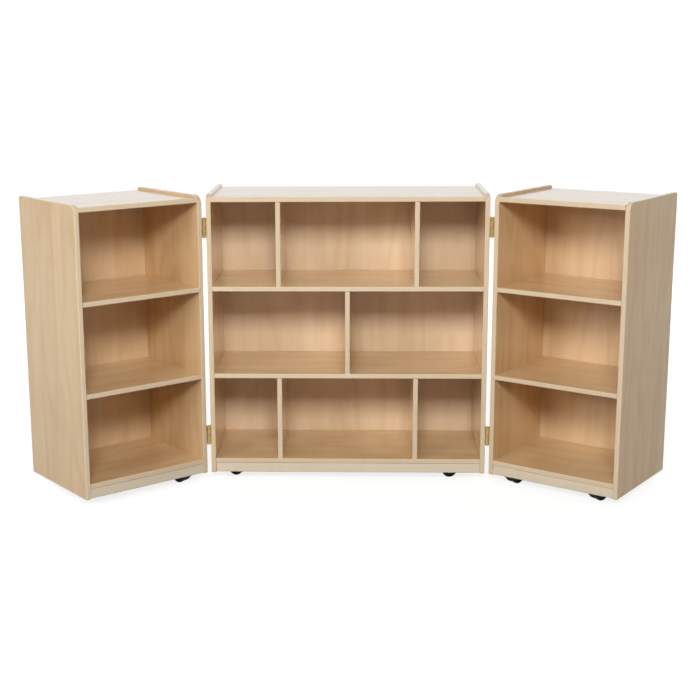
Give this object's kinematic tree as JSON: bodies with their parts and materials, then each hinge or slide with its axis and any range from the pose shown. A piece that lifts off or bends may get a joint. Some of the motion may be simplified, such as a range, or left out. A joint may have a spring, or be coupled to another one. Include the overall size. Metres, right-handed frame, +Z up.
{
  "type": "folding bookcase",
  "caption": "Folding mobile bookcase: a wide centre section with a narrower shelf wing hinged to each side, on twin-wheel swivel casters.",
  "frame": {"origin": "on the floor, in the middle of the footprint that the bookcase has with both wings standing part open", "axes": "+X along the centre section, to the right of someone who faces the shelves; +Y from the open front to the back; +Z up"},
  "size_m": [2.1224, 0.6748, 0.961],
  "materials": {
    "birch": "clear gloss lacquer over pale birch veneer",
    "birch_back": "clear lacquer over thin birch plywood",
    "brass": "satin brass",
    "caster_black": "moulded black plastic",
    "wheel_black": "hard black wheels",
    "zinc_steel": "zinc plated"
  },
  "bodies": {
    "centre": {"centre_left_side": "birch", "centre_right_side": "birch", "centre_bottom_board": "birch", "centre_lower_shelf": "birch", "centre_upper_shelf": "birch", "centre_top_board": "birch", "centre_back_panel": "birch_back", "centre_lower_left_divider": "birch", "centre_lower_right_divider": "birch", "centre_middle_divider": "birch", "centre_upper_left_divider": "birch", "centre_upper_right_divider": "birch", "left_wing_upper_hinge_fixed_leaf": "brass", "left_wing_lower_hinge_fixed_leaf": "brass", "right_wing_upper_hinge_fixed_leaf": "brass", "right_wing_lower_hinge_fixed_leaf": "brass"},
    "left_wing": {"left_wing_outer_side": "birch", "left_wing_inner_side": "birch", "left_wing_bottom_board": "birch", "left_wing_lower_shelf": "birch", "left_wing_upper_shelf": "birch", "left_wing_top_board": "birch", "left_wing_back_panel": "birch_back", "left_wing_upper_hinge_wing_leaf": "brass", "left_wing_lower_hinge_wing_leaf": "brass"},
    "right_wing": {"right_wing_inner_side": "birch", "right_wing_outer_side": "birch", "right_wing_bottom_board": "birch", "right_wing_lower_shelf": "birch", "right_wing_upper_shelf": "birch", "right_wing_top_board": "birch", "right_wing_back_panel": "birch_back", "right_wing_upper_hinge_wing_leaf": "brass", "right_wing_lower_hinge_wing_leaf": "brass"},
    "centre_front_left_caster": {"centre_front_left_caster_housing": "caster_black"},
    "centre_front_left_wheels": {"centre_front_left_caster_wheels": "wheel_black"},
    "centre_front_right_caster": {"centre_front_right_caster_housing": "caster_black"},
    "centre_front_right_wheels": {"centre_front_right_caster_wheels": "wheel_black"},
    "centre_back_left_caster": {"centre_back_left_caster_housing": "caster_black"},
    "centre_back_left_wheels": {"centre_back_left_caster_wheels": "wheel_black"},
    "centre_back_right_caster": {"centre_back_right_caster_housing": "caster_black"},
    "centre_back_right_wheels": {"centre_back_right_caster_wheels": "wheel_black"},
    "left_wing_front_left_caster": {"left_wing_front_left_caster_housing": "caster_black"},
    "left_wing_front_left_wheels": {"left_wing_front_left_caster_wheels": "wheel_black"},
    "left_wing_front_right_caster": {"left_wing_front_right_caster_housing": "caster_black"},
    "left_wing_front_right_wheels": {"left_wing_front_right_caster_wheels": "wheel_black"},
    "left_wing_back_left_caster": {"left_wing_back_left_caster_housing": "caster_black"},
    "left_wing_back_left_wheels": {"left_wing_back_left_caster_wheels": "wheel_black"},
    "left_wing_back_right_caster": {"left_wing_back_right_caster_housing": "caster_black"},
    "left_wing_back_right_wheels": {"left_wing_back_right_caster_wheels": "wheel_black"},
    "right_wing_front_left_caster": {"right_wing_front_left_caster_housing": "caster_black"},
    "right_wing_front_left_wheels": {"right_wing_front_left_caster_wheels": "wheel_black"},
    "right_wing_front_right_caster": {"right_wing_front_right_caster_housing": "caster_black"},
    "right_wing_front_right_wheels": {"right_wing_front_right_caster_wheels": "wheel_black"},
    "right_wing_back_left_caster": {"right_wing_back_left_caster_housing": "caster_black"},
    "right_wing_back_left_wheels": {"right_wing_back_left_caster_wheels": "wheel_black"},
    "right_wing_back_right_caster": {"right_wing_back_right_caster_housing": "caster_black"},
    "right_wing_back_right_wheels": {"right_wing_back_right_caster_wheels": "wheel_black"}
  },
  "joints": [
    {"name": "left_wing_fold", "type": "hinge", "parent": "centre", "child": "left_wing", "pos_m": [-0.46216, -0.0451, 0.5], "axis": [0, 0, 1], "range_deg": [-39.57, 140.43]},
    {"name": "right_wing_fold", "type": "hinge", "parent": "centre", "child": "right_wing", "pos_m": [0.46484, -0.0451, 0.5], "axis": [0, 0, -1], "range_deg": [-34.17, 145.83]},
    {"name": "centre_front_left_swivel", "type": "hinge", "parent": "centre", "child": "centre_front_left_caster", "pos_m": [-0.35776, 0.025, 0.05], "axis": [0, 0, 1], "continuous": true},
    {"name": "centre_front_left_roll", "type": "hinge", "parent": "centre_front_left_caster", "child": "centre_front_left_wheels", "pos_m": [-0.37467, 0.03116, 0.025], "axis": [-0.342, -0.9397, 0], "continuous": true},
    {"name": "centre_front_right_swivel", "type": "hinge", "parent": "centre", "child": "centre_front_right_caster", "pos_m": [0.36044, 0.025, 0.05], "axis": [0, 0, 1], "continuous": true},
    {"name": "centre_front_right_roll", "type": "hinge", "parent": "centre_front_right_caster", "child": "centre_front_right_wheels", "pos_m": [0.34272, 0.02188, 0.025], "axis": [0.1736, -0.9848, 0], "continuous": true},
    {"name": "centre_back_left_swivel", "type": "hinge", "parent": "centre", "child": "centre_back_left_caster", "pos_m": [-0.35776, 0.26881, 0.05], "axis": [0, 0, 1], "continuous": true},
    {"name": "centre_back_left_roll", "type": "hinge", "parent": "centre_back_left_caster", "child": "centre_back_left_wheels", "pos_m": [-0.37155, 0.28038, 0.025], "axis": [-0.6428, -0.766, 0], "continuous": true},
    {"name": "centre_back_right_swivel", "type": "hinge", "parent": "centre", "child": "centre_back_right_caster", "pos_m": [0.36044, 0.26881, 0.05], "axis": [0, 0, 1], "continuous": true},
    {"name": "centre_back_right_roll", "type": "hinge", "parent": "centre_back_right_caster", "child": "centre_back_right_wheels", "pos_m": [0.37077, 0.28355, 0.025], "axis": [-0.8192, 0.5736, 0], "continuous": true},
    {"name": "left_wing_front_left_swivel", "type": "hinge", "parent": "left_wing", "child": "left_wing_front_left_caster", "pos_m": [-0.80297, -0.23581, 0.05], "axis": [0, 0, 1], "continuous": true},
    {"name": "left_wing_front_left_roll", "type": "hinge", "parent": "left_wing_front_left_caster", "child": "left_wing_front_left_wheels", "pos_m": [-0.81186, -0.22015, 0.025], "axis": [-0.8698, -0.4935, 0], "continuous": true},
    {"name": "left_wing_front_right_swivel", "type": "hinge", "parent": "left_wing", "child": "left_wing_front_right_caster", "pos_m": [-0.57187, -0.04482, 0.05], "axis": [0, 0, 1], "continuous": true},
    {"name": "left_wing_front_right_roll", "type": "hinge", "parent": "left_wing_front_right_caster", "child": "left_wing_front_right_wheels", "pos_m": [-0.55635, -0.05394, 0.025], "axis": [0.5065, 0.8622, 0], "continuous": true},
    {"name": "left_wing_back_left_swivel", "type": "hinge", "parent": "left_wing", "child": "left_wing_back_left_caster", "pos_m": [-0.95828, -0.04787, 0.05], "axis": [0, 0, 1], "continuous": true},
    {"name": "left_wing_back_left_roll", "type": "hinge", "parent": "left_wing_back_left_caster", "child": "left_wing_back_left_wheels", "pos_m": [-0.96601, -0.06413, 0.025], "axis": [0.9031, -0.4294, 0], "continuous": true},
    {"name": "left_wing_back_right_swivel", "type": "hinge", "parent": "left_wing", "child": "left_wing_back_right_caster", "pos_m": [-0.72718, 0.14311, 0.05], "axis": [0, 0, 1], "continuous": true},
    {"name": "left_wing_back_right_roll", "type": "hinge", "parent": "left_wing_back_right_caster", "child": "left_wing_back_right_wheels", "pos_m": [-0.74405, 0.14939, 0.025], "axis": [-0.3491, -0.9371, 0], "continuous": true},
    {"name": "right_wing_front_left_swivel", "type": "hinge", "parent": "right_wing", "child": "right_wing_front_left_caster", "pos_m": [0.57404, -0.0345, 0.05], "axis": [0, 0, 1], "continuous": true},
    {"name": "right_wing_front_left_roll", "type": "hinge", "parent": "right_wing_front_left_caster", "child": "right_wing_front_left_wheels", "pos_m": [0.55945, -0.04504, 0.025], "axis": [0.5854, -0.8108, 0], "continuous": true},
    {"name": "right_wing_front_right_swivel", "type": "hinge", "parent": "right_wing", "child": "right_wing_front_right_caster", "pos_m": [0.82209, -0.20289, 0.05], "axis": [0, 0, 1], "continuous": true},
    {"name": "right_wing_front_right_roll", "type": "hinge", "parent": "right_wing_front_right_caster", "child": "right_wing_front_right_wheels", "pos_m": [0.80663, -0.21211, 0.025], "axis": [0.5125, -0.8587, 0], "continuous": true},
    {"name": "right_wing_back_left_swivel", "type": "hinge", "parent": "right_wing", "child": "right_wing_back_left_caster", "pos_m": [0.71097, 0.16722, 0.05], "axis": [0, 0, 1], "continuous": true},
    {"name": "right_wing_back_left_roll", "type": "hinge", "parent": "right_wing_back_left_caster", "child": "right_wing_back_left_wheels", "pos_m": [0.72897, 0.16748, 0.025], "axis": [-0.0145, 0.9999, 0], "continuous": true},
    {"name": "right_wing_back_right_swivel", "type": "hinge", "parent": "right_wing", "child": "right_wing_back_right_caster", "pos_m": [0.95902, -0.00117, 0.05], "axis": [0, 0, 1], "continuous": true},
    {"name": "right_wing_back_right_roll", "type": "hinge", "parent": "right_wing_back_right_caster", "child": "right_wing_back_right_wheels", "pos_m": [0.96085, -0.01908, 0.025], "axis": [0.9948, 0.1016, 0], "continuous": true}
  ]
}
